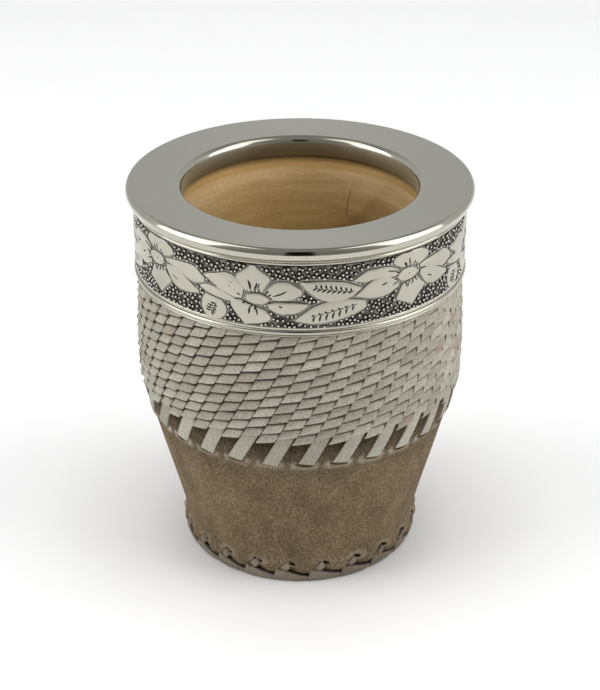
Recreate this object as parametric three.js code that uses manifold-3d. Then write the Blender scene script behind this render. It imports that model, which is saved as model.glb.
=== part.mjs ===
import * as THREE from 'three';
import { mergeVertices } from 'three/addons/utils/BufferGeometryUtils.js';
import Module from 'manifold-3d';

const HEIGHT = 97; // floor to the top of the rim
const RIM_DIAMETER = 84; // over the rolled edge of the rim
const MOUTH_DIAMETER = 57; // clear width inside the metal lip
const LIP_DEPTH = 5; // how far the metal lip reaches into the mouth
const MOUTH_DISH = 0.5; // how much lower the rim is at the mouth
const BAND_DIAMETER = 79.8; // flower band, at its ground
const BAND_TOP = 92.1;
const BAND_BOTTOM = 76.7;
const BAND_THICKNESS = 0.8;
const BAND_RELIEF = 0.45; // petals and leaves stand this far off the ground
const BEAD_DIAMETER = 81.3; // half-round ring under the band
const BEAD_HEIGHT = 1.65;
const LEATHER_THICKNESS = 1.8;
const SOLE_HEIGHT = 2.9;
const WOOD_FLOOR = 10; // inside bottom of the cup, above the table
const GAP = 0.3; // clearance between neighbouring pieces
const CHAIN_COUNT = 58; // slanted rows of the braid round the cup
const CHAIN_LEAN = 0.76; // degrees round the cup for each millimetre up
const CHAIN_START = -4.2; // degrees from the front to the first row at the slits
const BRAID_TOP = 74.35;
const BRAID_BOTTOM = 46.5;
const BRAID_CORE = 34; // start radius of the sleeve before it is bored to fit the leather
const CHAIN_SEAM = 0.15; // degrees from a row's edge to the line between two rows
const FACET_HEIGHT = 2.85;
const FACET_TILT = 0.17; // the right side of a facet is higher by twice this
const BRAID_BACK = 0.45; // solid back of the braid
const FACET_RISE = 0.7; // ridge of a facet over the back
const FACET_VALLEY = 0.12;
const LOOSE_END = 39.6; // height at which the loose ends enter the leather
const LOOSE_WIDTH = 3.75;
const LOOSE_THICKNESS = 0.8;
const STITCH_COUNT = 22; // lacing round the base
const STITCH_START = -12.6; // degrees from the front to the blunt end of the first stitch
const STITCH_REACH = 22; // degrees from a stitch's blunt end to its tail under the next stitch
const STITCH_LOW = 0.35; // lower edge, just off the table
const STITCH_TOP = 3.9; // upper edge at the blunt end
const STITCH_TAIL = 1.6; // upper edge at the tail
const STITCH_SLANT = 1.6; // degrees by which the blunt end leans
const STITCH_THICKNESS = 0.8;
const TURN_STEPS = 32;

// Height and outer radius of the body from the sole to the top of the leather.
const BODY = [
  [0, 27.3], [0.3, 27.9], [1.5, 28.65], [3.2, 29.1], [5, 29.6], [8, 29.85], [14, 31.3], [18.6, 32.5],
  [29.6, 35.45], [35.6, 37.0], [41.6, 38.6], [47.6, 39.15], [57, 39.3], [66, 39.0], [74.35, 38.6],
];
const WOOD_INSIDE = [[14, 10.5], [21.5, 13.5], [27, 22], [30.4, 36], [31.9, 56], [31.6, 77], [29.5, 91.2]];
const FLOWER_UNITS = [0, 92.6, 181.7, 270.8]; // hand-spaced repeats, degrees

// Petals as root and tip beside the flower's centre, half width, bend and place of the widest part.
const LOW_FLOWER = {
  at: [-14, 83.9],
  petals: [
    { root: [-0.8, 1.7], tip: [-1.0, 8.0], half: 3.7, bend: 0, widest: 0.55 },
    { root: [-0.6, -1.7], tip: [-1.6, -6.6], half: 4.4, bend: 0.3, widest: 0.5 },
    { root: [-3.4, 0.9], tip: [-12.6, 3.3], half: 1.9, bend: -1.0, widest: 0.45 },
    { root: [-3.6, -0.7], tip: [-14.2, 0.4], half: 0.8, bend: 0.3, widest: 0.5 },
    { root: [3.3, 0.9], tip: [9.8, 1.5], half: 1.5, bend: 1.1, widest: 0.5 },
    { root: [3.4, -0.6], tip: [10.4, -0.4], half: 1.4, bend: -1.2, widest: 0.5 },
  ],
};
const HIGH_FLOWER = {
  at: [-55, 86.7],
  petals: [
    { root: [0.6, -1.7], tip: [1.7, -7.7], half: 4.2, bend: 0, widest: 0.5 },
    { root: [0.4, 1.7], tip: [0.8, 5.3], half: 4.9, bend: 0, widest: 0.55 },
    { root: [-3.4, 0.6], tip: [-14.2, 0.3], half: 1.0, bend: -1.3, widest: 0.5 },
    { root: [-3.4, -0.8], tip: [-13, -2.1], half: 1.7, bend: 0.3, widest: 0.5 },
    { root: [3.4, 0.6], tip: [15.4, 0.3], half: 1.0, bend: 1.1, widest: 0.5 },
    { root: [3.4, -0.6], tip: [16, -1.8], half: 1.9, bend: -1.5, widest: 0.5 },
  ],
};
const FLOWER_HEART = { half: 1.4, reach: 3.0 };
const LEAVES = {
  at: [0, 0],
  petals: [
    { root: [-20.8, 82.5], tip: [-20.7, 76.9], half: 3.2, bend: 0, widest: 0.45 },
    { root: [0.2, 88], tip: [14.1, 86.1], half: 2.3, bend: -1.2, widest: 0.5 },
    { root: [-1.6, 78.4], tip: [15.2, 82.2], half: 2.3, bend: 0.5, widest: 0.5 },
  ],
};

const wasm = await Module();
wasm.setup();

function welded(geometry) {
  const bare = geometry.clone();
  bare.deleteAttribute('normal');
  bare.deleteAttribute('uv');
  return mergeVertices(bare, 1e-4);
}

function solidOf(geometry) {
  const bare = welded(geometry);
  const mesh = new wasm.Mesh({
    numProp: 3,
    vertProperties: new Float32Array(bare.attributes.position.array),
    triVerts: new Uint32Array(bare.index.array),
  });
  return new wasm.Manifold(mesh);
}

function geometryOf(solid) {
  const mesh = solid.getMesh();
  const geometry = new THREE.BufferGeometry();
  geometry.setAttribute('position', new THREE.BufferAttribute(mesh.vertProperties, 3));
  geometry.setIndex(new THREE.BufferAttribute(mesh.triVerts, 1));
  return geometry;
}

function joined(geometries) {
  return wasm.Manifold.union(geometries.map(solidOf));
}

function turned(profile) {
  const points = profile.map(([radius, height]) => new THREE.Vector2(radius, height));
  const geometry = new THREE.LatheGeometry(points, TURN_STEPS);
  geometry.rotateX(Math.PI / 2);
  return welded(geometry);
}

function ring(profile) {
  return turned([...profile, profile[0]]);
}

function bodyRadius(height) {
  const last = BODY.length - 1;
  const found = BODY.findIndex(([level]) => level > height);
  const upper = found < 0 ? last : Math.max(found, 1);
  const [lowLevel, lowRadius] = BODY[upper - 1];
  const [highLevel, highRadius] = BODY[upper];
  return THREE.MathUtils.mapLinear(height, lowLevel, highLevel, lowRadius, highRadius);
}

// Angles run from the front of the cup to its right.
function roundPoint(degrees, radius, height) {
  const angle = THREE.MathUtils.degToRad(degrees);
  return new THREE.Vector3(radius * Math.sin(angle), -radius * Math.cos(angle), height);
}

// A box split along and across, each corner moved by place(along, across, through), all from 0 to 1.
function bentStrip(steps, place, widthSteps = 1) {
  const geometry = new THREE.BoxGeometry(1, 1, 1, steps, widthSteps, 1);
  const position = geometry.attributes.position;
  for (let i = 0; i < position.count; i += 1) {
    const point = place(position.getX(i) + 0.5, position.getY(i) + 0.5, position.getZ(i) + 0.5);
    position.setXYZ(i, point.x, point.y, point.z);
  }
  return geometry;
}

function rimPlate() {
  const rim = RIM_DIAMETER / 2;
  const mouth = MOUTH_DIAMETER / 2;
  const band = BAND_DIAMETER / 2;
  const inside = band - BAND_THICKNESS;
  const under = HEIGHT - 1.8;
  const lipTop = HEIGHT - MOUTH_DISH;
  const lipEnd = lipTop - LIP_DEPTH;
  const skirtEnd = BAND_TOP + GAP;
  return ring([
    [mouth + 0.6, lipEnd],
    [mouth + 0.6, under],
    [inside, under],
    [inside, skirtEnd],
    [band + 0.4, skirtEnd],
    [band + 0.6, skirtEnd + 0.35],
    [band + 0.55, skirtEnd + 0.7],
    [band + 0.3, skirtEnd + 1.05],
    [band + 0.55, skirtEnd + 1.95],
    [rim - 0.95, skirtEnd + 2.7],
    [rim - 0.3, HEIGHT - 1.6],
    [rim, HEIGHT - 0.9],
    [rim - 0.3, HEIGHT - 0.2],
    [rim - 1, HEIGHT],
    [mouth + 1, lipTop],
    [mouth + 0.3, lipTop - 0.3],
    [mouth, lipTop - 1],
    [mouth + 0.05, lipEnd],
  ]);
}

function woodCup() {
  const seat = BRAID_TOP + GAP;
  const under = HEIGHT - 1.8 - GAP;
  const outer = BODY.filter(([level], i) => level > SOLE_HEIGHT && i % 4 === 3);
  const skin = LEATHER_THICKNESS + GAP * 4;
  const bottom = SOLE_HEIGHT + GAP;
  return turned([
    [0, bottom],
    ...outer.map(([level, radius]) => [radius - skin, Math.max(level, bottom)]),
    [BODY[BODY.length - 1][1] - skin, seat],
    [BAND_DIAMETER / 2 - BAND_THICKNESS - GAP, seat],
    [BAND_DIAMETER / 2 - BAND_THICKNESS - GAP, under],
    [MOUTH_DIAMETER / 2 + 0.6 + GAP, under],
    ...WOOD_INSIDE.slice().reverse(),
    [0, WOOD_FLOOR],
  ]);
}

function leatherCover() {
  const outside = BODY.filter(([level]) => level > SOLE_HEIGHT);
  const inside = outside.filter((station, i) => i % 4 === 0 || i === outside.length - 1);
  const back = inside.reverse().map(([level, radius]) => [radius - LEATHER_THICKNESS, level]);
  return ring([...outside.map(([level, radius]) => [radius, level]), ...back]);
}

function leatherSole() {
  const edge = BODY.filter(([level]) => level < SOLE_HEIGHT).map(([level, radius]) => [radius, level]);
  return turned([[0, 0], ...edge, [bodyRadius(SOLE_HEIGHT), SOLE_HEIGHT], [0, SOLE_HEIGHT]]);
}

function stitch(index) {
  const start = STITCH_START + (index * 360) / STITCH_COUNT;
  return bentStrip(2, (along, across, through) => {
    const top = THREE.MathUtils.lerp(STITCH_TOP, STITCH_TAIL, along);
    const height = THREE.MathUtils.lerp(STITCH_LOW, top, across);
    const thickness = STITCH_THICKNESS * (1 - along * 0.5);
    const radius = bodyRadius(height) + GAP * 1.5 + through * thickness;
    const lean = STITCH_SLANT * across * (1 - along);
    return roundPoint(start + lean + along * STITCH_REACH, radius, height);
  }, 2);
}

function baseLacing() {
  const stitches = Array.from({ length: STITCH_COUNT }, (unused, i) => stitch(i));
  return geometryOf(joined(stitches));
}

function chainAngle(index, height) {
  return CHAIN_START + (index * 360) / CHAIN_COUNT + (height - LOOSE_END) * CHAIN_LEAN;
}

// The sleeve of facets: each slanted row has two edges, and a ridge lies beside a valley of the next row.
function braidSleeve() {
  const rows = Math.round((BRAID_TOP - BRAID_BOTTOM) / (FACET_HEIGHT / 2));
  const levels = Array.from({ length: rows + 1 }, (unused, i) => BRAID_BOTTOM + (i * FACET_HEIGHT) / 2);
  levels[rows] = BRAID_TOP;
  const profile = [...levels, BRAID_TOP, BRAID_BOTTOM, BRAID_BOTTOM];
  const points = profile.map((level) => new THREE.Vector2(BRAID_CORE, level));
  const geometry = new THREE.LatheGeometry(points, CHAIN_COUNT * 2);
  const position = geometry.attributes.position;
  for (let i = 0; i < position.count; i += 1) {
    const column = Math.floor(i / profile.length) % (CHAIN_COUNT * 2);
    const step = (i % profile.length) % (profile.length - 1);
    const index = Math.floor(column / 2);
    const side = column % 2 === 0 ? -1 : 1;
    const tilt = step > 0 && step < rows ? side * FACET_TILT : 0;
    const level = profile[step] + tilt;
    const rise = (step + index) % 2 === 1 ? FACET_RISE : FACET_VALLEY;
    const radius = step <= rows ? bodyRadius(level) + GAP + BRAID_BACK + rise : BRAID_CORE;
    const degrees = chainAngle(index, level) + side * (180 / CHAIN_COUNT - CHAIN_SEAM);
    const point = roundPoint(degrees, radius, level);
    position.setXYZ(i, point.x, point.y, point.z);
  }
  const inside = [BRAID_BOTTOM - 1, 57, BRAID_TOP].map((level) => [bodyRadius(level) + GAP * 1.5, level]);
  const top = [BRAID_CORE - 3, BRAID_TOP + 1];
  const bottom = [BRAID_CORE - 3, BRAID_BOTTOM - 1];
  const bore = ring([...inside, [inside[2][0], BRAID_TOP + 1], top, bottom]);
  return solidOf(geometry).subtract(solidOf(bore));
}

function looseEnd(index) {
  const top = BRAID_BOTTOM + 0.3;
  return bentStrip(1, (along, across, through) => {
    const level = THREE.MathUtils.lerp(LOOSE_END, top, along);
    const half = THREE.MathUtils.radToDeg(LOOSE_WIDTH / 2 / bodyRadius(level));
    const thickness = along === 0 ? 0.4 : LOOSE_THICKNESS;
    const radius = bodyRadius(level) + GAP * 1.5 + through * (thickness - 0.1);
    return roundPoint(chainAngle(index, level) + (1 - across * 2) * half, radius, level);
  });
}

function rawhideBraid() {
  let braid = braidSleeve();
  for (let i = 1; i < CHAIN_COUNT; i += 2) {
    braid = braid.add(solidOf(looseEnd(i)));
  }
  return geometryOf(braid);
}

function petalOutline(along, widest) {
  const power = Math.log(0.5) / Math.log(widest);
  return Math.max(Math.sin(Math.PI * along ** power), 0.04) ** 0.75;
}

// A petal raised off the band, its middle line bent sideways between root and tip.
function petal(spec, at, unit) {
  const steps = spec.half < 1.8 ? 2 : 3;
  const band = BAND_DIAMETER / 2;
  const root = new THREE.Vector2(...spec.root);
  const tip = new THREE.Vector2(...spec.tip);
  const line = tip.clone().sub(root);
  const side = new THREE.Vector2(-line.y, line.x).normalize();
  return bentStrip(steps, (along, across, through) => {
    const width = spec.half * petalOutline(along, spec.widest);
    const shift = spec.bend * 4 * along * (1 - along) + (across - 0.5) * 2 * width;
    const flat = root.clone().addScaledVector(line, along).addScaledVector(side, shift);
    const height = THREE.MathUtils.clamp(at[1] + flat.y, BAND_BOTTOM + 0.2, BAND_TOP - 0.05);
    const degrees = at[0] + unit + THREE.MathUtils.radToDeg(flat.x / band);
    return roundPoint(degrees, band + (through > 0.5 ? BAND_RELIEF : -0.4), height);
  });
}

function flowerUnit(unit) {
  const shapes = [];
  for (const flower of [LOW_FLOWER, HIGH_FLOWER]) {
    const { reach, half } = FLOWER_HEART;
    const heart = { root: [-reach, 0], tip: [reach, 0], half, bend: 0, widest: 0.5 };
    for (const spec of [...flower.petals, heart]) {
      shapes.push(petal(spec, flower.at, unit));
    }
  }
  for (const spec of LEAVES.petals) {
    shapes.push(petal(spec, LEAVES.at, unit));
  }
  return shapes;
}

function chasedBand() {
  const band = BAND_DIAMETER / 2;
  const inside = band - BAND_THICKNESS;
  const ground = ring([[inside, BAND_BOTTOM], [band, BAND_BOTTOM], [band, BAND_TOP], [inside, BAND_TOP]]);
  return geometryOf(joined([ground, ...FLOWER_UNITS.flatMap(flowerUnit)]));
}

function bandBead() {
  const outer = BEAD_DIAMETER / 2;
  const inside = BAND_DIAMETER / 2 - BAND_THICKNESS;
  const top = BAND_BOTTOM - GAP;
  const bottom = top - BEAD_HEIGHT;
  return ring([
    [inside, bottom],
    [outer - 0.4, bottom],
    [outer - 0.35, bottom + 0.45],
    [outer, bottom + 0.75],
    [outer, bottom + 1.15],
    [outer - 0.6, top],
    [inside, top],
  ]);
}

function piece(name, geometry, color, roughness, metalness) {
  geometry.computeVertexNormals();
  const material = new THREE.MeshStandardMaterial({ color, roughness, metalness });
  material.name = name;
  const mesh = new THREE.Mesh(geometry, material);
  mesh.name = name;
  return mesh;
}

const cup = new THREE.Group();
cup.name = 'mate_cup';
cup.add(piece('wood_cup', woodCup(), 0x9c7a4c, 0.7, 0));
cup.add(piece('leather_cover', leatherCover(), 0x6f5f48, 0.85, 0));
cup.add(piece('leather_sole', leatherSole(), 0x5f5240, 0.85, 0));
cup.add(piece('base_lacing', baseLacing(), 0x6d6456, 0.85, 0));
cup.add(piece('rawhide_braid', rawhideBraid(), 0x9c9484, 0.8, 0));
cup.add(piece('chased_band', chasedBand(), 0xb4b0a2, 0.35, 1));
cup.add(piece('band_bead', bandBead(), 0xb4b0a2, 0.3, 1));
cup.add(piece('rim_plate', rimPlate(), 0xb8b6a8, 0.2, 1));

export default cup;
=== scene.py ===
import bpy
import bmesh
import math
import random
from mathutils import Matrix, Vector
from mathutils.kdtree import KDTree


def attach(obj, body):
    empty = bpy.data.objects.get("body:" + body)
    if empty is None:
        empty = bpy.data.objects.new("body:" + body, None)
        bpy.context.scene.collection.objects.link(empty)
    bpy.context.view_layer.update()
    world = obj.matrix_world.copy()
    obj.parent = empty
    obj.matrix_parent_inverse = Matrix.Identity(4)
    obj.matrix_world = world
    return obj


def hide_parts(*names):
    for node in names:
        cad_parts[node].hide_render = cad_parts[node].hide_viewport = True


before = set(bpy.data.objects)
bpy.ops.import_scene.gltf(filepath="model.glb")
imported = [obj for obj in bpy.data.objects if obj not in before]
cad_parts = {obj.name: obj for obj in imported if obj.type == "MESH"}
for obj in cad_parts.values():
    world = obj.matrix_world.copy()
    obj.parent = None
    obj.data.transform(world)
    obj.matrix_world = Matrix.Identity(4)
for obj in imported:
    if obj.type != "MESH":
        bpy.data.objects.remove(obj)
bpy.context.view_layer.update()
mm = 0.001


# shared shape helpers

def clamp(value, low=0.0, high=1.0):
    return max(low, min(high, value))


def blend(a, b, share):
    return a + (b - a) * share


def ease(low, high, value):
    share = clamp((value - low) / (high - low))
    return share * share * (3 - 2 * share)


def bump(value, centre, width):  # soft bell of height 1
    return math.exp(-((value - centre) / width) ** 2)


def curveThrough(stations, at):  # smooth curve through (position, value) stations
    last = len(stations) - 1
    upper = next((i for i, (place, _) in enumerate(stations) if place > at), last)
    upper = max(1, min(last, upper))
    (x0, y0), (x1, y1) = stations[upper - 1], stations[upper]

    def slope(i):
        before, after = stations[max(i - 1, 0)], stations[min(i + 1, last)]
        return (after[1] - before[1]) / (after[0] - before[0])

    span = x1 - x0
    t = clamp((at - x0) / span)
    rise0, rise1 = slope(upper - 1) * span, slope(upper) * span
    return ((2 * t**3 - 3 * t**2 + 1) * y0 + (t**3 - 2 * t**2 + t) * rise0
            + (3 * t**2 - 2 * t**3) * y1 + (t**3 - t**2) * rise1)


def around(degrees, radius, height):  # degrees from the front towards the right, millimetres in
    angle = math.radians(degrees)
    return Vector((radius * math.sin(angle), -radius * math.cos(angle), height)) * mm


def arcPoints(centre, radius, start, end, steps):
    angles = [math.radians(blend(start, end, i / steps)) for i in range(steps + 1)]
    return [(centre[0] + radius * math.cos(a), centre[1] + radius * math.sin(a)) for a in angles]


def spinProfile(profile, steps, closed=True):  # (radius, height) points turned round the cup's axis
    bm = bmesh.new()
    verts = [bm.verts.new((0, -radius * mm, height * mm)) for radius, height in profile]
    edges = [bm.edges.new(pair) for pair in zip(verts, verts[1:])]
    if closed:
        edges.append(bm.edges.new((verts[-1], verts[0])))
    bmesh.ops.spin(bm, geom=verts + edges, cent=(0, 0, 0), axis=(0, 0, 1), angle=math.tau,
                   steps=steps, use_merge=True)
    bmesh.ops.remove_doubles(bm, verts=bm.verts[:], dist=1e-7)
    bmesh.ops.recalc_face_normals(bm, faces=bm.faces[:])
    return bm


def shapeLists(bm, read):
    bm.verts.index_update()
    points = [read(vert.co) for vert in bm.verts]
    faces = [[vert.index for vert in face.verts] for face in bm.faces]
    bm.free()
    return points, faces


def slabShape(along, across):  # closed slab as (t, s, depth) points: t and depth 0 to 1, s -1 to 1
    bm = bmesh.new()
    bmesh.ops.create_grid(bm, x_segments=along, y_segments=across, size=0.5)
    made = bmesh.ops.extrude_face_region(bm, geom=bm.faces[:], use_keep_orig=True)
    for vert in (item for item in made["geom"] if isinstance(item, bmesh.types.BMVert)):
        vert.co.z = 1
    return shapeLists(bm, lambda co: (co.x + 0.5, co.y * 2, co.z))


def ballShape(sides, rings):  # ball as (along, across, out) points from -1 to 1
    bm = bmesh.new()
    bmesh.ops.create_uvsphere(bm, u_segments=sides, v_segments=rings, radius=1)
    return shapeLists(bm, lambda co: (co.z, co.y, co.x))


def newStore(*layers):
    return {"verts": [], "faces": [], "layers": {name: [] for name in layers}}


def layShape(store, shape, place, **marks):  # adds one copy of a shape, its points laid by place
    points, faces = shape
    first = len(store["verts"])
    store["verts"] += [place(*point) for point in points]
    store["faces"] += [[first + i for i in face] for face in faces]
    for name, mark in marks.items():
        store["layers"][name] += [mark(*point) if callable(mark) else mark for point in points]


def joinStore(store):
    mesh = bpy.data.meshes.new("joined")
    mesh.from_pydata(store["verts"], [], store["faces"])
    bm = bmesh.new()
    bm.from_mesh(mesh)
    bpy.data.meshes.remove(mesh)
    for name, values in store["layers"].items():
        layer = bm.verts.layers.float.new(name)
        for vert, value in zip(bm.verts, values):
            vert[layer] = value
    bmesh.ops.recalc_face_normals(bm, faces=bm.faces[:])
    return bm


def makePiece(name, bm, materials, smoothAngle=40):
    mesh = bpy.data.meshes.new(name)
    bm.to_mesh(mesh)
    bm.free()
    piece = bpy.data.objects.new(name, mesh)
    bpy.context.collection.objects.link(piece)
    for material in materials:
        mesh.materials.append(material)
    mesh.shade_smooth()
    mesh.set_sharp_from_angle(angle=math.radians(smoothAngle))
    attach(piece, "root")
    return piece


def carve(piece, cutterMesh, cutterMaterial, smoothAngle=40):  # cut faces take the cutter's finish
    mesh = bpy.data.meshes.new("cutter")
    cutterMesh.to_mesh(mesh)
    cutterMesh.free()
    mesh.materials.append(cutterMaterial)
    cutter = bpy.data.objects.new("cutter", mesh)
    bpy.context.collection.objects.link(cutter)
    cut = piece.modifiers.new("cut", "BOOLEAN")
    cut.operation = "DIFFERENCE"
    cut.solver = "MANIFOLD"
    cut.material_mode = "TRANSFER"
    cut.object = cutter
    graph = bpy.context.evaluated_depsgraph_get()
    carved = bpy.data.meshes.new_from_object(piece.evaluated_get(graph), depsgraph=graph)
    before = len(piece.data.polygons)
    piece.modifiers.clear()
    old = piece.data
    piece.data = carved
    bpy.data.meshes.remove(old)
    carved.name = piece.name
    bpy.data.objects.remove(cutter)
    bpy.data.meshes.remove(mesh)
    carved.set_sharp_from_angle(angle=math.radians(smoothAngle))
    print("carved", piece.name, before, "->", len(carved.polygons), "faces")


def domeShape(sides, profile):  # round button as (across, up, out) points, closed below
    bm = spinProfile(profile, sides, closed=False)
    return shapeLists(bm, lambda co: (co.x / mm, co.y / mm, co.z / mm))


tileShape = slabShape(10, 5)
stripShape = slabShape(24, 6)
petalShape = slabShape(16, 7)
ball = ballShape(8, 6)
grainShape = domeShape(8, [(0, 0.75), (0.3, 0.66), (0.5, 0.4), (0.62, 0.08), (1.0, 0.05), (0, -0.4)])


# shared finishes

def newMaterial(name):
    material = bpy.data.materials.new(name)
    material.use_nodes = True
    tree = material.node_tree
    return material, tree, tree.nodes["Principled BSDF"]


def feed(socket, value):  # a socket to link, a number, a vector or a colour
    if isinstance(value, bpy.types.NodeSocket):
        socket.id_data.links.new(value, socket)
    elif isinstance(value, tuple) and len(value) < len(socket.default_value):
        socket.default_value = (*value, 1)
    else:
        socket.default_value = value


def setInputs(node, **values):  # an underscore stands for the blank in an input's name
    for key, value in values.items():
        feed(node.inputs[key.replace("_", " ")], value)


def addNode(tree, kind, settings=None, **values):
    node = tree.nodes.new(kind)
    for key, value in (settings or {}).items():
        setattr(node, key, value)
    setInputs(node, **values)
    return node


def addRamp(tree, source, stops):
    ramp = tree.nodes.new("ShaderNodeValToRGB")
    elements = ramp.color_ramp.elements
    while len(elements) < len(stops):
        elements.new(0.5)
    for element, (place, colour) in zip(elements, stops):
        element.position = place
        element.color = (*colour, 1)
    setInputs(ramp, Fac=source)
    return ramp.outputs["Color"]


def addMix(tree, factor, first, second, mode="MIX"):
    mix = addNode(tree, "ShaderNodeMix", {"data_type": "RGBA", "blend_type": mode})
    for number, value in ((0, factor), (6, first), (7, second)):  # the colour inputs are 6 and 7
        feed(mix.inputs[number], value)
    return mix.outputs[2]


def darken(tree, colour, *layers):  # multiplies a colour by each layer in turn
    for layer in layers:
        colour = addMix(tree, 1.0, colour, layer, "MULTIPLY")
    return colour


def addMath(tree, operation, *values):
    node = addNode(tree, "ShaderNodeMath", {"operation": operation})
    for socket, value in zip(node.inputs, values):
        feed(socket, value)
    return node.outputs[0]


def addRange(tree, source, low, high, toLow=0.0, toHigh=1.0):
    node = addNode(tree, "ShaderNodeMapRange", Value=source, From_Min=low, From_Max=high)
    setInputs(node, To_Min=toLow, To_Max=toHigh)
    return node.outputs["Result"]


def addNoise(tree, vector, **values):
    return addNode(tree, "ShaderNodeTexNoise", Vector=vector, **values).outputs["Fac"]


def addBump(tree, shader, height, strength, distance):
    node = addNode(tree, "ShaderNodeBump", Strength=strength, Distance=distance, Height=height)
    setInputs(shader, Normal=node.outputs["Normal"])


def readLayer(tree, name):
    return addNode(tree, "ShaderNodeAttribute", {"attribute_name": name}).outputs["Fac"]


def newGroup(name, inputs, outputs):
    group = bpy.data.node_groups.new(name, "ShaderNodeTree")
    for socketName, value in inputs:
        socket = group.interface.new_socket(socketName, in_out="INPUT", socket_type="NodeSocketFloat")
        socket.default_value = value
    for socketName in outputs:
        group.interface.new_socket(socketName, in_out="OUTPUT", socket_type="NodeSocketFloat")
    return group, group.nodes.new("NodeGroupInput"), group.nodes.new("NodeGroupOutput")


def fillGroup(group, vector, given, out, roughness, layers):  # layers: scale input, output, detail
    for inputName, outputName, detail in layers:
        noise = addNoise(group, vector, Scale=given.outputs[inputName], Detail=detail, Roughness=roughness)
        feed(out.inputs[outputName], noise)


def useGroup(tree, group, **values):
    return addNode(tree, "ShaderNodeGroup", {"node_tree": group}, **values).outputs


def makeHideGrain():  # fine nap and broad mottling of hide
    inputs = [("Fine", 2600), ("Broad", 90), ("Stretch", 1.0)]
    group, given, out = newGroup("hideGrain", inputs, ["Nap", "Mottle"])
    coords = group.nodes.new("ShaderNodeTexCoord").outputs["Object"]
    scale = addNode(group, "ShaderNodeCombineXYZ", X=1, Y=1, Z=given.outputs["Stretch"]).outputs["Vector"]
    squash = addNode(group, "ShaderNodeMapping", Vector=coords, Scale=scale).outputs["Vector"]
    fillGroup(group, squash, given, out, 0.6, (("Fine", "Nap", 2.0), ("Broad", "Mottle", 4.0)))
    return group


def makePolish():  # rubbing marks and slight tarnish of hand-polished metal
    group, given, out = newGroup("polish", [("Marks", 700), ("Clouds", 60)], ["Scuff", "Tarnish"])
    coords = group.nodes.new("ShaderNodeTexCoord").outputs["Object"]
    fillGroup(group, coords, given, out, 0.55, (("Marks", "Scuff", 5.0), ("Clouds", "Tarnish", 3.0)))
    return group


white = (1.0, 1.0, 1.0)
hideGrain = makeHideGrain()
polish = makePolish()


# metals

metals = {
    "sleeve": (0.6, 0.655, 0.62), "rim": (0.53, 0.512, 0.435), "rimDull": (0.515, 0.497, 0.42),
    "bright": (0.525, 0.507, 0.425), "dull": (0.45, 0.432, 0.36), "margin": (0.36, 0.345, 0.3),
    # grain is the painted highlight on the punched grains' tops
    "grain": (0.78, 0.76, 0.69), "ground": (0.24, 0.228, 0.2), "patina": (0.06, 0.055, 0.045),
    "groove": (0.014, 0.012, 0.009),
}


def polishedMetal(name, bright, dull, rough, marks):  # rough: lowest and highest, marks: bump strength
    material, tree, shader = newMaterial(name)
    scuff, tarnish = useGroup(tree, polish)
    colour = addRamp(tree, tarnish, [(0.3, metals[dull]), (0.65, metals[bright])])
    sheen = addRange(tree, scuff, 0.0, 1.0, *rough)
    setInputs(shader, Base_Color=colour, Metallic=1, Roughness=sheen)
    addBump(tree, shader, scuff, marks, 0.00004)
    return material


def patinaMetal(name, low, high, rough, scale):  # scale: fineness of the darkened patches
    material, tree, shader = newMaterial(name)
    scuff, _ = useGroup(tree, polish, Marks=scale)
    colour = addRamp(tree, scuff, [(0.36, metals[low]), (0.66, metals[high])])
    setInputs(shader, Base_Color=colour, Metallic=0.9, Roughness=rough)
    addBump(tree, shader, scuff, 0.3, 0.0001)
    return material


def grainMetal(name, low, middle, high):  # punched grains: a painted highlight on top, and dark where they meet the ground, both patina and painted shade
    material, tree, shader = newMaterial(name)
    stops = [(0.15, metals[low]), (0.6, metals[middle]), (0.95, metals[high])]
    setInputs(shader, Base_Color=addRamp(tree, readLayer(tree, "top"), stops), Metallic=1, Roughness=0.3)
    return material


rimMetal = polishedMetal("rim_metal", "rim", "rimDull", rough=(0.09, 0.13), marks=0.02)
petalMetal = polishedMetal("petal_metal", "bright", "dull", rough=(0.24, 0.36), marks=0.3)
beadMetal = polishedMetal("bead_metal", "bright", "dull", rough=(0.18, 0.3), marks=0.15)
lipMetal = polishedMetal("lip_metal", "rim", "rimDull", rough=(0.1, 0.17), marks=0.15)
sleeveMetal = polishedMetal("sleeve_metal", "sleeve", "rim", rough=(0.38, 0.48), marks=0.1)
marginMetal = patinaMetal("margin_metal", "ground", "margin", rough=0.45, scale=900)
groundMetal = patinaMetal("ground_metal", "patina", "ground", rough=0.5, scale=800)
grooveMetal = patinaMetal("groove_metal", "groove", "patina", rough=0.6, scale=1500)
grainFinish = grainMetal("grain_metal", "groove", "ground", "grain")


# leather and rawhide

hides = {
    "leather": [(0.1, 0.07, 0.036), (0.19, 0.139, 0.082), (0.36, 0.277, 0.178)],  # dark, middle, light
    "lace": [(0.28, 0.2, 0.165), (0.21, 0.172, 0.128), (0.35, 0.3, 0.24)],  # warm, dark, light
    "rawhide": [(0.45, 0.39, 0.32), (0.385, 0.36, 0.298), (0.575, 0.548, 0.472)],
    "scuffed": (0.55, 0.50, 0.41), "rubbing": 1.6,
    "slit": (0.06, 0.045, 0.03), "slitDark": (0.03, 0.0225, 0.015),
}
shades = {  # multiplied into the colour under them; the darkest ones are painted shade in the braid's gaps and painted shadow under the braid
    "speck": (0.66, 0.64, 0.6), "mottle": (0.86, 0.855, 0.84), "tuckedShade": (0.4, 0.38, 0.34),
    "joint": (0.09, 0.08, 0.062), "blotch": (0.72, 0.71, 0.68), "pale": (1.06, 1.06, 1.06),
    "soiledAndShaded": (0.62, 0.63, 0.65), "braidShadow": (0.26, 0.25, 0.24),
}


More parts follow.
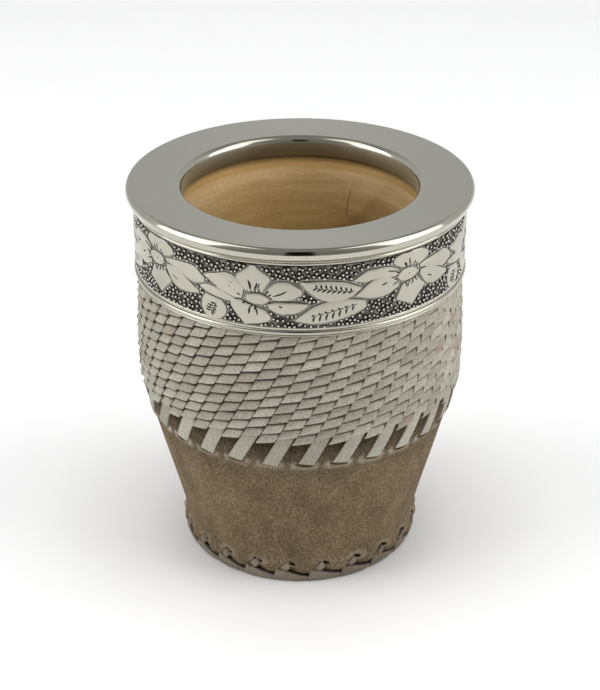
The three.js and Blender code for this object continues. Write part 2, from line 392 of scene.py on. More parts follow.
def rawhideFinish(name, tones):
    material, tree, shader = newMaterial(name)
    nap, mottle = useGroup(tree, hideGrain, Fine=2600.0, Broad=240.0)
    base = addRamp(tree, readLayer(tree, "tone"), list(zip((0.0, 0.12, 1.0), tones)))
    speck = addRamp(tree, nap, [(0.34, shades["speck"]), (0.56, white)])
    patches = addRamp(tree, mottle, [(0.3, shades["mottle"]), (0.7, white)])
    # painted shade: darkest in the gaps, darker where tucked under the next facet and on hidden back faces
    paintedShadeStops = [(0.0, shades["joint"]), (0.35, shades["tuckedShade"]), (0.8, white)]
    paintedShade = addRamp(tree, readLayer(tree, "wear"), paintedShadeStops)
    colour = darken(tree, base, speck, patches, paintedShade)
    setInputs(shader, Base_Color=colour, Roughness=0.8, Specular_IOR_Level=0.25)
    addBump(tree, shader, nap, 0.3, 0.0001)
    return material


def leatherFinish(name, tones):
    material, tree, shader = newMaterial(name)
    nap, mottle = useGroup(tree, hideGrain, Fine=3000.0, Broad=190.0, Stretch=0.5)
    base = addRamp(tree, nap, list(zip((0.3, 0.52, 0.74), tones)))
    patches = addRamp(tree, mottle, [(0.33, shades["blotch"]), (0.63, shades["pale"])])
    # darker leather and painted shadow towards the braid, and darker towards the bottom edge
    soilAndShadeStops = [(0.0, white), (0.6, shades["soiledAndShaded"]), (1.0, shades["braidShadow"])]
    soilAndShade = addRamp(tree, readLayer(tree, "soilAndShade"), soilAndShadeStops)
    rubbed = addMath(tree, "MULTIPLY", readLayer(tree, "scuff"), nap)
    rubbed = addMath(tree, "MULTIPLY", rubbed, hides["rubbing"])
    colour = addMix(tree, rubbed, darken(tree, base, patches, soilAndShade), hides["scuffed"])
    setInputs(shader, Base_Color=colour, Roughness=0.9, Specular_IOR_Level=0.15)
    addBump(tree, shader, nap, 0.35, 0.00012)
    return material


def shadowLeather(name):
    material, tree, shader = newMaterial(name)
    nap, _ = useGroup(tree, hideGrain, Fine=900.0)
    shade = addRamp(tree, nap, [(0.3, hides["slitDark"]), (0.7, hides["slit"])])
    setInputs(shader, Base_Color=shade, Roughness=0.95, Specular_IOR_Level=0.1)
    return material


leather = leatherFinish("leather", hides["leather"])
lacingLeather = rawhideFinish("lacing_leather", hides["lace"])
rawhide = rawhideFinish("rawhide", hides["rawhide"])
slitShadow = shadowLeather("slit_shadow")


# wood

woodLook = {  # colours, then heights and widths in metres
    "dark": (0.50, 0.335, 0.16), "middle": (0.66, 0.475, 0.25), "light": (0.82, 0.64, 0.39),
    "low": (0.59, 0.54, 0.41), "deep": (0.8, 0.77, 0.69),
    "tan": (0.87, 0.79, 0.6), "shade": (0.2, 0.18, 0.15), "pit": (0.45, 0.4, 0.35),
    "paleZone": (0.077, 0.0878), "paleBow": 5.5, "paleWander": 0.004, "lipZone": (0.0868, 0.0908), "pits": 0.7,
    "crack": (0.17, 0.1, 0.045), "crackX": 0.0127, "crackLean": 0.11, "crackFrom": 0.0738,
    "crackTo": 0.0819, "crackWander": 0.0012, "crackHalf": 0.00012,
}


def woodStreaks(tree, vector):  # growth streaks and turning lines lie level
    for scale, stretch in ((26.0, 9.0), (120.0, 14.0)):
        place = addNode(tree, "ShaderNodeMapping", Vector=vector, Scale=(1, 1, stretch)).outputs["Vector"]
        yield addNoise(tree, place, Scale=scale, Detail=5.0, Roughness=0.6, Distortion=0.35)


def crackMask(tree, look, vector, x, y, z):  # one hairline crack in the back wall
    wander = addNoise(tree, vector, Scale=220.0, Detail=2.0)
    offset = addMath(tree, "MULTIPLY_ADD", wander, look["crackWander"], x)
    rise = addMath(tree, "SUBTRACT", z, look["crackFrom"])
    offset = addMath(tree, "SUBTRACT", offset, addMath(tree, "MULTIPLY", rise, look["crackLean"]))
    aside = addMath(tree, "ABSOLUTE", addMath(tree, "SUBTRACT", offset, look["crackX"]))
    line = addMath(tree, "LESS_THAN", aside, look["crackHalf"])
    back = addMath(tree, "GREATER_THAN", y, 0.0)
    above = addMath(tree, "GREATER_THAN", z, look["crackFrom"])
    below = addMath(tree, "LESS_THAN", z, look["crackTo"])
    return addMath(tree, "MULTIPLY", addMath(tree, "MULTIPLY", line, back),
                   addMath(tree, "MULTIPLY", above, below))


def woodFinish(look):
    material, tree, shader = newMaterial("turned_wood")
    vector = tree.nodes.new("ShaderNodeTexCoord").outputs["Object"]
    x, y, z = addNode(tree, "ShaderNodeSeparateXYZ", Vector=vector).outputs
    broad, fine = woodStreaks(tree, vector)
    grain = addNoise(tree, vector, Scale=1500.0, Detail=3.0, Roughness=0.65)
    both = addMath(tree, "MULTIPLY_ADD", fine, 0.3, addMath(tree, "MULTIPLY", broad, 0.42))
    both = addMath(tree, "MULTIPLY_ADD", grain, 0.28, both)
    base = addRamp(tree, both, [(0.32, look["dark"]), (0.5, look["middle"]), (0.68, look["light"])])
    bow = addMath(tree, "MULTIPLY", addMath(tree, "MULTIPLY", x, x), look["paleBow"])
    edge = addMath(tree, "ADD", addMath(tree, "MULTIPLY_ADD", broad, look["paleWander"], z), bow)
    level = addRange(tree, edge, *look["paleZone"])
    zone = addRamp(tree, level, [(0.0, look["low"]), (0.8, look["deep"]), (1.0, white)])
    near = addRange(tree, z, *look["lipZone"])  # painted shadow on the wood just under the metal sleeve, after a tan band
    tanStops = [(0.0, white), (0.3, look["tan"]), (0.55, look["tan"]), (1.0, look["shade"])]
    colour = darken(tree, base, zone, addRamp(tree, near, tanStops))
    pores = addNode(tree, "ShaderNodeTexVoronoi", Vector=vector, Scale=260.0)
    pits = addRamp(tree, pores.outputs["Distance"], [(0.03, look["pit"]), (0.08, white)])
    colour = addMix(tree, look["pits"], colour, pits, "MULTIPLY")
    colour = addMix(tree, crackMask(tree, look, vector, x, y, z), colour, look["crack"])
    setInputs(shader, Base_Color=colour, Roughness=0.62, Specular_IOR_Level=0.35)
    addBump(tree, shader, fine, 0.25, 0.0002)
    return material


turnedWood = woodFinish(woodLook)
print("finishes ready")


# body profile under leather, braid and lacing

body = {
    "stations": [(0.0, 27.3), (0.3, 27.9), (1.5, 28.65), (3.2, 29.1), (5, 29.6), (8, 29.85), (14, 31.3),
                 (18.6, 32.5), (23.6, 33.85), (29.6, 35.45), (35.6, 37.0), (41.6, 38.6), (47.6, 39.15),
                 (57, 39.3), (66, 39.0), (74.35, 38.6)],
    "height": 75.8, "perMm": 10,
}
bodyEntries = int(body["height"] * body["perMm"]) + 2
bodyTable = [curveThrough(body["stations"], i / body["perMm"]) for i in range(bodyEntries)]


def bodyAt(height):
    return bodyTable[int(clamp(height, 0, body["height"]) * body["perMm"] + 0.5)]


# wood cup

woodCup = {
    "inside": [(0, 10.0), (9, 10.15), (14, 10.6), (21.5, 13.6), (27, 22.2), (30.4, 36), (31.95, 56), (31.7, 77),
               (30.2, 87.5), (29.55, 91.2)],
    "outsideLevels": (74.65, 66, 57, 47.6, 41.6, 35.6, 29.6, 18.6, 14.5, 10, 3.2), "underLeather": 2.2,
    "top": 94.9, "mouth": 29.4, "outer": 38.75, "seat": 74.65, "bottom": 3.2, "steps": 128, "perStation": 5,
}


def roundedWall(stations, perStation):  # smooth line through the stations
    points = []
    last = len(stations) - 1
    for i in range(last):
        before, after = stations[max(i - 1, 0)], stations[min(i + 2, last)]
        corners = list(zip(before, stations[i], stations[i + 1], after))
        for step in range(perStation):
            t = step / perStation
            radius, height = [0.5 * (2 * a + (b - p) * t + (2 * p - 5 * a + 4 * b - n) * t**2
                                     + (3 * a - p - 3 * b + n) * t**3) for p, a, b, n in corners]
            points.append((max(radius, 0.0), height))
    return points + [stations[last]]


def makeWoodCup(cup):
    profile = roundedWall(cup["inside"], cup["perStation"])
    profile[0] = (0.0, cup["inside"][0][1])
    profile += [(cup["mouth"], cup["top"]), (cup["outer"], cup["top"]), (cup["outer"], cup["seat"])]
    profile += [(bodyAt(height) - cup["underLeather"], height) for height in cup["outsideLevels"]]
    profile.append((0.0, cup["bottom"]))
    bm = spinProfile(profile, cup["steps"], closed=False)
    return makePiece("wood_cup_turned", bm, [turnedWood])


wood = makeWoodCup(woodCup)
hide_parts("wood_cup")
print("wood cup turned")


# rawhide braid: slanted rows of facets, every other row ending in a loose strip

braid = {
    "rows": 58, "lean": 0.76, "start": -4.6, "slit": 39.6, "top": 74.5, "bottom": 46.5, "seed": 7,
    "facet": 2.85, "overlap": 0.35, "tilt": 0.42, "corner": 0.12, "high": 1.42, "low": 0.45, "thickness": 0.85,
    "seam": 0.02, "narrow": 0.1, "sink": 0.1, "roll": 0.1, "rounding": 0.1, "sideDrop": 0.08, "crowding": 0.35,
    "uneven": 0.05, "tone": (0.6, 0.2), "leastTone": 0.14, "warmShare": 0.035, "warmTone": 0.02, "back": 0.1,
}
strip = {
    "width": 3.75, "thickness": 0.65, "tail": 0.6, "tuck": 0.9, "slant": 0.3, "stand": 0.5, "dive": 0.7,
    "diveFrom": 0.35, "sideDrop": 0.07, "swing": 0.3, "scatter": 0.25, "tone": (0.5, 0.18), "leastTone": 0.2,
    "back": 0.45,
}


def rowAngle(index, height):
    return braid["start"] + index * 360 / braid["rows"] + (height - braid["slit"]) * braid["lean"]


def layFacet(store, b, row, low, chance):
    half = 180 / b["rows"] - b["seam"]
    lift = chance.gauss(0, b["uneven"])
    lean = chance.gauss(0, b["uneven"])
    twist = chance.gauss(0, b["uneven"])
    narrow = chance.uniform(0.0, b["narrow"])
    tone = clamp(chance.gauss(*b["tone"]), b["leastTone"], 1.0)
    if chance.random() < b["warmShare"]:
        tone = b["warmTone"]

    def place(t, s, depth):  # like a shingle: lower end stands out, upper end is tucked under
        s = math.copysign(abs(s) ** b["crowding"], s)
        level = low + t * (b["facet"] + b["overlap"]) + s * (b["tilt"] + twist)
        level += b["corner"] * (1 - t) * ease(0.6, 1.0, s)
        level = min(level, b["top"])
        stand = blend(b["high"], b["low"], ease(0.0, 1.0, t) * 0.6 + 0.4 * t)
        stand -= b["rounding"] * (1 - ease(0.0, 0.1, t)) + b["sideDrop"] * abs(s) ** 6
        stand += lift + (b["roll"] + lean) * s - b["sink"]
        radius = bodyAt(level) + stand - (1 - depth) * b["thickness"]
        return around(rowAngle(row, level) + s * (half - narrow), radius, level)

    def wear(t, s, depth):  # painted shade: darker on the upper end in the shadow under the facet above, along the side gaps, and on the hidden back face
        shade = 1 - ease(0.52, 0.74, t + 0.07 * s)
        right = 0.6 * ease(0.7, 1.0, s)
        left = 0.85 * ease(0.7, 1.0, -s) * ease(0.0, 0.3, t)
        return shade * (1 - right - left) * (1 if depth > 0.5 else b["back"])

    layShape(store, tileShape, place, tone=tone, wear=wear)


def layStrip(store, c, row, top, chance):
    tone = clamp(chance.gauss(*c["tone"]), c["leastTone"], 1.0)
    swing = chance.gauss(0, c["swing"])
    end = braid["slit"] + chance.gauss(0, c["scatter"])

    def place(t, s, depth):
        skew = s * c["slant"] * (1 - t)
        level = blend(end - c["tail"], top + c["tuck"], t) - skew
        above = level - end + skew
        stand = blend(-c["dive"], c["stand"], ease(-c["tail"], c["diveFrom"], above))  # into its slit
        stand -= c["sideDrop"] * abs(s) ** 6
        radius = bodyAt(level) + stand - (1 - depth) * c["thickness"]
        width = math.degrees(c["width"] / 2 / bodyAt(level))
        return around(rowAngle(row, level) + s * width + swing * (1 - t), radius, level)

    def wear(t, s, depth):  # painted shade: dark in the shadow under the braid, a little at the slit, and on the hidden back face
        shade = 1 - ease(0.82, 0.95, t)
        return shade * (0.35 + 0.65 * ease(0.02, 0.1, t)) * (1 if depth > 0.5 else c["back"])

    layShape(store, stripShape, place, tone=tone, wear=wear)


def makeBraid(b):
    chance = random.Random(b["seed"])
    store = newStore("tone", "wear")
    for row in range(b["rows"]):
        loose = row % 2 == 1
        first = b["bottom"] + (b["facet"] / 2 if loose else 0)
        for facet in range(math.ceil((b["top"] - first) / b["facet"])):
            layFacet(store, b, row, first + facet * b["facet"], chance)
        if loose:
            layStrip(store, strip, row, first, chance)
    return makePiece("rawhide_weave", joinStore(store), [rawhide], 50)


weave = makeBraid(braid)
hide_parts("rawhide_braid")
print("braid woven", len(weave.data.polygons), "faces")


# leather cover with slits for the loose strips and holes for the lacing

cover = {
    "top": 74.2, "bottom": 2.6, "thickness": 1.8, "steps": 360, "seed": 3, "wearMarks": 40,
    "insideLevels": (74.2, 66, 57, 47.6, 41.6, 35.6, 29.6, 18.6, 10, 2.6),
    "fineStep": 0.4, "coarseStep": 1.5, "fineBelow": 9, "fineSlits": (37.5, 41.5), "slitZone": (34, 44),
    # darker leather and painted shadow rising towards the braid, darkest just under its lower edge
    "soilAndShade": [(0.3, 31, 39), (0.3, 39.4, 40.6), (0.4, 41.5, 46)],  # share, from, to
    "lip": 0.45, "lipHalf": 2.7, "lipBelow": 1.2, "lipAbove": 0.3, "endScuff": 1.2, "edgeScuff": 0.5,
    "stitches": 22, "holeStart": -4.4, "holeLevel": 5.6, "ring": 0.2, "ringWidth": 1.9, "ringScuff": 0.4,
    "lobe": 1.3, "lobeShift": 0.42, "lobeFade": (3.4, 7.6), "pullIn": 0.5, "pullTo": 3.6, "pullDarkening": 0.35,
}
slits = {"width": 4.5, "half": 0.11, "drop": 0.22, "curve": 0.35, "slant": 0.2, "out": 0.0, "depth": 1.3}
holes = {"width": 2.4, "half": 0.475, "drop": 0.0, "curve": 0.0, "slant": 0.3, "out": 0.3, "depth": 1.4}


def coverLevels(c):  # close together near the lacing and near the slits
    levels = []
    level = c["bottom"]
    while level < c["top"]:
        levels.append(level)
        fine = level < c["fineBelow"] or c["fineSlits"][0] < level < c["fineSlits"][1]
        level += c["fineStep"] if fine else c["coarseStep"]
    return levels + [c["top"]]


def slitLip(c, degrees, radius, z, wear):  # raised lower lip of each slit, pale at its two ends
    start, pitch = rowAngle(1, braid["slit"]), 360 / (braid["rows"] / 2)
    number = round((degrees - start) / pitch)
    off = (degrees - start - number * pitch) * math.radians(1) * radius
    below = braid["slit"] - slits["drop"] - z
    lip = math.exp(-(max(below, 0) / c["lipBelow"]) ** 2 - (min(below, 0) / c["lipAbove"]) ** 2)
    move = c["lip"] * lip * math.exp(-(off / c["lipHalf"]) ** 4)
    ends = bump(abs(off), c["lipHalf"], 0.7) * bump(z, braid["slit"] + 0.1, 0.75)
    edge = c["edgeScuff"] * math.exp(-(off / 3.0) ** 4) * bump(below, 0.3, 0.35)
    endWear, edgeWear = wear[number % len(wear)], wear[(number + 17) % len(wear)]
    return move, clamp(c["endScuff"] * ends * endWear + edge * edgeWear)


def lowerEdge(c, degrees, radius, z, wear):  # stands out between the stitches and is pulled in at them
    pitch = 360 / c["stitches"]
    phase = (degrees - c["holeStart"]) / pitch
    lobe = 0.5 + 0.5 * math.cos(math.tau * (phase - c["lobeShift"]))
    edge = 1 - ease(*c["lobeFade"], z)
    under = 1 - ease(c["bottom"], c["pullTo"], z)
    number = round(phase)
    off = (phase - number) * pitch * math.radians(1) * radius
    ring = bump(math.hypot(off / c["ringWidth"], z - c["holeLevel"]), 1, 0.4)
    move = c["lobe"] * lobe * edge - c["pullIn"] * under * under + c["ring"] * ring
    # the third value makes the leather darker towards the bottom edge, where it is pulled in
    return move, clamp(c["ringScuff"] * ring * wear[(number + 5) % len(wear)]), c["pullDarkening"] * under


def mouldCover(c, bm):
    scuffLayer = bm.verts.layers.float.new("scuff")
    soilAndShadeLayer = bm.verts.layers.float.new("soilAndShade")
    chance = random.Random(c["seed"])
    wear = [chance.uniform(0.3, 1.0) for _ in range(c["wearMarks"])]
    for vert in bm.verts:
        flat = Vector((vert.co.x, vert.co.y, 0))
        radius, z = flat.length / mm, vert.co.z / mm
        if radius < bodyAt(z) - 0.4:  # the inside stays as it is
            continue
        degrees = math.degrees(math.atan2(vert.co.x, -vert.co.y))
        move = 0.0
        # darker leather and painted shadow rising towards the braid; near the bottom edge lowerEdge sets it
        # instead
        vert[soilAndShadeLayer] = sum(share * ease(low, high, z) for share, low, high in c["soilAndShade"])
        if c["slitZone"][0] < z < c["slitZone"][1]:
            move, vert[scuffLayer] = slitLip(c, degrees, radius, z, wear)
        if z < c["fineBelow"]:
            move, vert[scuffLayer], vert[soilAndShadeLayer] = lowerEdge(c, degrees, radius, z, wear)
        vert.co += flat.normalized() * move * mm


def cutOval(store, oval, degrees, z):
    def place(x, y, out):
        level = z - oval["drop"] + oval["curve"] * x * x + oval["half"] * y - x * oval["slant"]
        turn = degrees + math.degrees(x * oval["width"] / 2 / bodyAt(z))
        return around(turn, bodyAt(level) + oval["out"] + out * oval["depth"], level)

    layShape(store, ball, place)


def makeCover(c):
    outside = [(bodyAt(z), z) for z in coverLevels(c)]
    inside = [(bodyAt(z) - c["thickness"], z) for z in c["insideLevels"]]
    bm = spinProfile(outside + inside, c["steps"])
    mouldCover(c, bm)
    piece = makePiece("leather_cover_sewn", bm, [leather, slitShadow], 55)
    cutter = newStore()
    for row in range(1, braid["rows"], 2):
        cutOval(cutter, slits, rowAngle(row, braid["slit"]), braid["slit"])
    for i in range(c["stitches"]):
        cutOval(cutter, holes, c["holeStart"] + i * 360 / c["stitches"], c["holeLevel"])
    carve(piece, joinStore(cutter), slitShadow, 55)
    return piece


coverPiece = makeCover(cover)
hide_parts("leather_cover")
print("leather cover sewn")


# sole and lacing

sole = {"steps": 128, "profile": [(0, 0), (26.9, 0), (27.6, 0.2), (28.2, 0.9), (28.5, 1.6), (28.6, 2.4),
                                  (28.3, 2.6), (0, 2.6)]}
soleShape = spinProfile(sole["profile"], sole["steps"], closed=False)
solePiece = makePiece("leather_sole_disc", soleShape, [leather], 50)
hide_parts("leather_sole")

lacing = {
    "stitches": 22, "seed": 11, "start": -12.6, "reach": 21.5, "low": 0.2, "top": 3.9,
    "tail": 1.2, "slant": 1.6,
    "outline": [(0.0, 29.4), (0.4, 29.65), (1.5, 30.05), (3.0, 30.35), (4.4, 30.4)],
    "tuck": 0.6, "thickness": 0.8, "sideDrop": 0.15, "rounding": 0.2, "back": 0.3, "leastTone": 0.25,
    "startScatter": 0.4, "topScatter": 0.2, "standScatter": 0.06,
}
tab = {
    "from": (4.2, 3.3), "to": (8.6, 5.8), "half": 0.7125, "slant": 0.9, "stand": 1.0, "dive": 2.0, "tuck": 0.5,
    "sideDrop": 0.12, "thickness": 0.5, "paler": 0.25,
}


def layStitch(store, c, stitch, chance):
    start = c["start"] + stitch * 360 / c["stitches"] + chance.gauss(0, c["startScatter"])
    top = c["top"] + chance.gauss(0, c["topScatter"])
    proud = chance.gauss(0, c["standScatter"])
    tone = chance.uniform(c["leastTone"], 1.0)

    def place(t, s, depth):
        upper = blend(top, c["tail"], ease(-0.15, 1.0, t))
        across = 0.5 + 0.5 * s
        level = blend(c["low"], upper, across)
        stand = proud - c["tuck"] * ease(0.5, 1.0, t)
        stand -= c["sideDrop"] * abs(s) ** 5 + c["rounding"] * (1 - ease(0.0, 0.04, t))
        turn = start + c["slant"] * across * (1 - t) + t * c["reach"]
        radius = curveThrough(c["outline"], level) + stand - (1 - depth) * c["thickness"]
        return around(turn, radius, level)

    def placeTab(t, s, depth):  # the short run from the seam up into the hole
        turn = start + blend(tab["from"][0], tab["to"][0], t) - s * tab["slant"]
        level = blend(tab["from"][1], tab["to"][1], t) + s * tab["half"]
        stand = tab["stand"] - tab["dive"] * ease(0.6, 1.0, t)
        stand -= tab["tuck"] * (1 - ease(0.0, 0.3, t)) + tab["sideDrop"] * abs(s) ** 5
        return around(turn, bodyAt(level) + stand - (1 - depth) * tab["thickness"], level)

    # painted shade: darker where the thong tucks in at its end, and on its hidden back face
    def wear(t, s, depth):
        return (1 - 0.8 * ease(0.75, 0.97, t)) * (1 if depth > 0.5 else c["back"])

    layShape(store, stripShape, place, tone=tone, wear=wear)
    layShape(store, tileShape, placeTab, tone=clamp(tone + tab["paler"]), wear=1.0)


def makeLacing(c):
    chance = random.Random(c["seed"])
    store = newStore("tone", "wear")
    for stitch in range(c["stitches"]):
        layStitch(store, c, stitch, chance)
    return makePiece("base_thong", joinStore(store), [lacingLeather], 50)


thong = makeLacing(lacing)
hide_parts("base_lacing")
print("base laced")


# chased band: raised flowers and leaves on a punched ground

band = {
    "radius": 39.9, "inner": 39.15, "top": 92.15, "bottom": 76.65, "edge": 0.1, "steps": 192, "seed": 5,
    "units": [0, 92.6, 181.7, 270.8], "petalTop": 0.08, "petalBottom": 0.12, "root": -0.3, "edgeDrop": 0.3,
    "lift": 0.42, "swell": 0.1, "outlineLift": 0.2, "outline": 0.24, "marginLift": 0.12, "margin": 0.56,
    "strokeDepth": 0.24, "strokeWidth": 1.4, "vein": 0.1, "sideVein": 0.23, "sideBend": 0.15, "sideGap": 0.16,
    "border": [(39.3, 76.43), (40.1, 76.43), (40.2, 76.5), (40.22, 76.7), (40.2, 77.1), (40.1, 77.22),
               (39.3, 77.22)],
    "grainPitch": 0.9, "grainRadius": 0.62, "grainSpread": (0.85, 1.1), "grainClear": 0.5, "grainTries": 40000,
    "grainBottom": 0.5, "grainTop": 0.45,
}
ticks = {
    "count": 20, "ends": 0.8, "aside": 0.2, "gap": 0.15, "fan": 1.6,
    "length": 0.8, "longer": 0.35, "half": 0.22,
}
# each petal: root and tip beside the centre in millimetres, half widths along it, sideways bend
# each stroke: from, to, half width, bend
lowFlower = {
    "at": (-14.0, 83.9),
    "petals": [
        ((-0.6, 1.75), (-0.65, 8.4), (1.85, 3.0, 3.85, 1.95, 0.12), 0.2),
        ((-1.1, -1.75), (-2.7, -6.55), (3.1, 4.8, 4.2, 2.35, 0.15), 0.1),
        ((-3.3, 0.9), (-12.8, 3.5), (1.2, 2.5, 2.45, 1.15, 0.1), -0.75),
        ((-4.3, -1.35), (-14.0, 0.55), (0.25, 0.8, 1.1, 0.9, 0.15), -0.35),
        ((2.4, 1.5), (10.1, 2.1), (0.7, 2.05, 2.2, 1.85, 0.55), 0.45),
        ((2.6, -1.5), (11.4, -1.1), (0.5, 1.35, 1.35, 1.2, 0.2), -0.65),
    ],
    "heart": (0.15, 0.0, 3.0, 1.25),
    "strokes": [
        ((-1.96, 4.5), (-1.4, 1.9), 0.2, 0.2), ((0.23, 4.0), (-0.3, 2.3), 0.17, 0.0),
        ((0.75, 3.9), (0.25, 2.3), 0.11, 0.0), ((-1.55, -2.1), (-1.85, -4.0), 0.17, 0.0),
        ((-0.2, -2.1), (0.25, -4.1), 0.14, 0.0), ((3.6, 0.9), (6.9, 2.4), 0.14, -0.2),
        ((5.0, -1.5), (5.85, -1.75), 0.14, 0.0), ((-4.6, 0.8), (-3.7, 0.4), 0.14, 0.0),
        ((-6.4, 3.6), (-5.6, 3.0), 0.05, 0.0), ((-6.7, 2.4), (-6.0, 2.0), 0.05, 0.0),
    ],
}
highFlower = {
    "at": (-55.0, 86.7),
    "petals": [
        ((0.5, -1.9), (1.5, -7.9), (2.1, 3.2, 4.2, 2.1, 0.1), 0.1),
        ((1.0, 1.85), (1.2, 5.4), (2.5, 4.5, 5.2, 4.6, 2.6), 0.0),
        ((-3.0, 1.05), (-14.0, 1.2), (0.75, 1.2, 1.15, 1.25, 0.1), -0.95),
        ((-2.8, -1.6), (-13.5, -2.6), (0.6, 2.0, 2.3, 1.5, 0.1), -0.6),
        ((3.7, 0.95), (15.6, -0.6), (0.3, 0.9, 1.5, 1.95, 0.5), 0.35),
        ((3.9, -0.6), (14.0, -3.9), (0.45, 1.85, 1.9, 1.25, 0.3), -0.75),
    ],
    "heart": (-0.1, 0.0, 3.2, 1.4),
    "strokes": [
        ((-1.2, 3.35), (-0.85, 2.0), 0.15, 0.0), ((0.2, 4.0), (0.35, 2.0), 0.15, 0.0),
        ((1.95, 2.9), (1.7, 2.0), 0.14, 0.0), ((-0.2, -3.3), (0.05, -2.1), 0.16, 0.0),
        ((1.1, -2.9), (1.1, -2.1), 0.13, 0.0), ((-7.4, -1.0), (-5.8, -0.55), 0.13, -0.1),
        ((-4.5, -1.85), (-3.6, -1.1), 0.09, 0.0), ((-5.9, 2.15), (-2.9, 1.5), 0.12, 0.0),
        ((6.1, -2.1), (7.8, -2.9), 0.1, 0.0), ((0.0, 0.1), (0.5, 0.1), 0.09, 0.0),
    ],
}
# each leaf as a petal, with its vein: from, to, pairs, then length and lean of the strokes above and below
leaves = [
    ((-20.2, 82.5), (-21.2, 76.85), (2.1, 3.0, 3.1, 2.4, 0.7), 0.45,
     ((-20.9, 78.7), (-19.5, 81.3), 4, (1.7, 0.4), (1.3, 0.9))),
    ((0.2, 88.3), (13.9, 85.95), (0.2, 1.75, 2.4, 2.05, 0.2), -1.3,
     ((3.3, 87.0), (12.3, 85.35), 8, (1.2, 0.5), (1.35, 1.3))),
    ((-0.9, 78.95), (15.0, 81.9), (0.15, 1.95, 2.4, 2.1, 0.85), 0.55,
     ((2.6, 79.9), (13.0, 82.2), 7, (0.8, 1.2), (1.9, 0.5))),
]


def bandPlace(x, z, raised):
    return around(math.degrees(x / band["radius"]), band["radius"] + raised, z)


def petalPoint(spec, offset, t, s, grow):
    root, tip, widths, bend = spec[:4]
    line = Vector((tip[0] - root[0], tip[1] - root[1]))
    side = Vector((-line.y, line.x)).normalized()
    run = blend(-grow, line.length + grow, t)
    over = max(-run, run - line.length, 0.0)
    along = clamp(run / line.length)
    width = max(curveThrough([(i / 4, w) for i, w in enumerate(widths)], along), 0.05)
    width += grow * math.sqrt(max(0.0, 1 - (over / grow) ** 2))
    flat = Vector(root) + line.normalized() * run + side * (bend * 4 * along * (1 - along) + s * width)
    low, high = band["bottom"] + band["petalBottom"], band["top"] - band["petalTop"]
    return flat.x + offset[0], clamp(flat.y + offset[1], low, high)


def layPetal(store, spec, offset, lift, grow):
    def place(t, s, depth):
        x, z = petalPoint(spec, offset, t, s, grow)
        edge = max(abs(s), abs(2 * t - 1))
        return bandPlace(x, z, lift * (1 - band["edgeDrop"] * edge ** 10) if depth > 0.5 else band["root"])

    layShape(store, petalShape, place)


def heartSpec(heart):  # a pointed oval laid like a petal
    x, z, reach, half = heart
    return ((x - reach, z), (x + reach, z), (0.1, half * 0.85, half, half * 0.85, 0.1), 0.0)


def layStroke(store, start, end, half, bend, offset):
    line = Vector((end[0] - start[0], end[1] - start[1]))
    side = Vector((-line.y, line.x)).normalized()

    def place(x, y, out):
        t = 0.5 + x * 0.5
        flat = Vector(start) + line * t + side * (bend * 4 * t * (1 - t) + y * half)
        return bandPlace(flat.x + offset[0], flat.y + offset[1], band["lift"] + out * band["strokeDepth"])

    layShape(store, ball, place)


def layVeins(store, vein, offset):
    start, end, pairs, above, below = vein
    line = Vector((end[0] - start[0], end[1] - start[1]))
    step = line / pairs
    heading = line.normalized()
    side = Vector((-heading.y, heading.x))
    for i in range(pairs):
        root = Vector(start) + step * (i + 0.5)
        layStroke(store, root - step * 0.45, root + step * 0.45, band["vein"], 0.0, offset)
        fade = 0.6 + 0.4 * math.sin(math.pi * (i + 0.8) / pairs)  # shorter towards both ends
        for sign, (length, lean) in ((1, above), (-1, below)):
            away = (side * sign - heading * lean).normalized()
            near = root + away * band["sideGap"]
            far = near + away * length * fade
            layStroke(store, near, far, band["sideVein"], band["sideBend"] * sign, offset)


def layTicks(store, heart, offset):  # short punched ticks round the heart
    x, z, reach, half = heart
    for tick in range(ticks["count"]):
        angle = math.tau * (tick + 0.5) / ticks["count"]
        across = math.cos(angle) * (reach * ticks["ends"] + ticks["aside"])
        start = Vector((x, z)) + Vector((across, math.sin(angle) * (half + ticks["gap"])))
        away = Vector((math.cos(angle), math.sin(angle) * ticks["fan"])).normalized()
        length = ticks["length"] + ticks["longer"] * (tick % 3)
        layStroke(store, start, start + away * length, ticks["half"], 0.0, offset)


def markPetal(spec, offset, grow):  # points all over a petal, to keep the grains off it
    return [petalPoint(spec, offset, i / 32, j / 8 - 1, grow) for i in range(33) for j in range(17)]


def makeBand(b):
    plates, outlines, margins, strokes = [newStore() for _ in range(4)]
    marks = []
    for turn in b["units"]:
        arc = math.radians(turn) * b["radius"]
        laid = [(spec, (arc, 0)) for spec in leaves]
        for spec in leaves:
            layVeins(strokes, spec[4], (arc, 0))
        for flower in (lowFlower, highFlower):
            centre = (math.radians(flower["at"][0]) * b["radius"] + arc, flower["at"][1])
            laid += [(spec, centre) for spec in flower["petals"] + [heartSpec(flower["heart"])]]
            for start, end, half, bend in flower["strokes"]:
                layStroke(strokes, start, end, half * b["strokeWidth"], bend, centre)
            layTicks(strokes, flower["heart"], centre)
        for spec, offset in laid:
            marks += markPetal(spec, offset, b["swell"])
            layPetal(plates, spec, offset, b["lift"], b["swell"])
            layPetal(outlines, spec, offset, b["outlineLift"], b["outline"])
            layPetal(margins, spec, offset, b["marginLift"], b["margin"])
    piece = makePiece("band_flowers", joinStore(plates), [petalMetal, grooveMetal], 35)
    carve(piece, joinStore(strokes), grooveMetal, 35)
    makePiece("band_outlines", joinStore(outlines), [grooveMetal], 35)
    makePiece("band_margins", joinStore(margins), [marginMetal], 35)
    return marks


def makeGround(b):
    inner, outer, edge = b["inner"], b["radius"], b["edge"]
    profile = [(inner, b["bottom"]), (outer - edge, b["bottom"]), (outer, b["bottom"] + edge),
               (outer, b["top"] - edge), (outer - edge, b["top"]), (inner, b["top"])]
    piece = makePiece("band_ground", spinProfile(profile, b["steps"]), [groundMetal], 35)
    makePiece("band_border", spinProfile(b["border"], b["steps"]), [beadMetal], 40)
    return piece


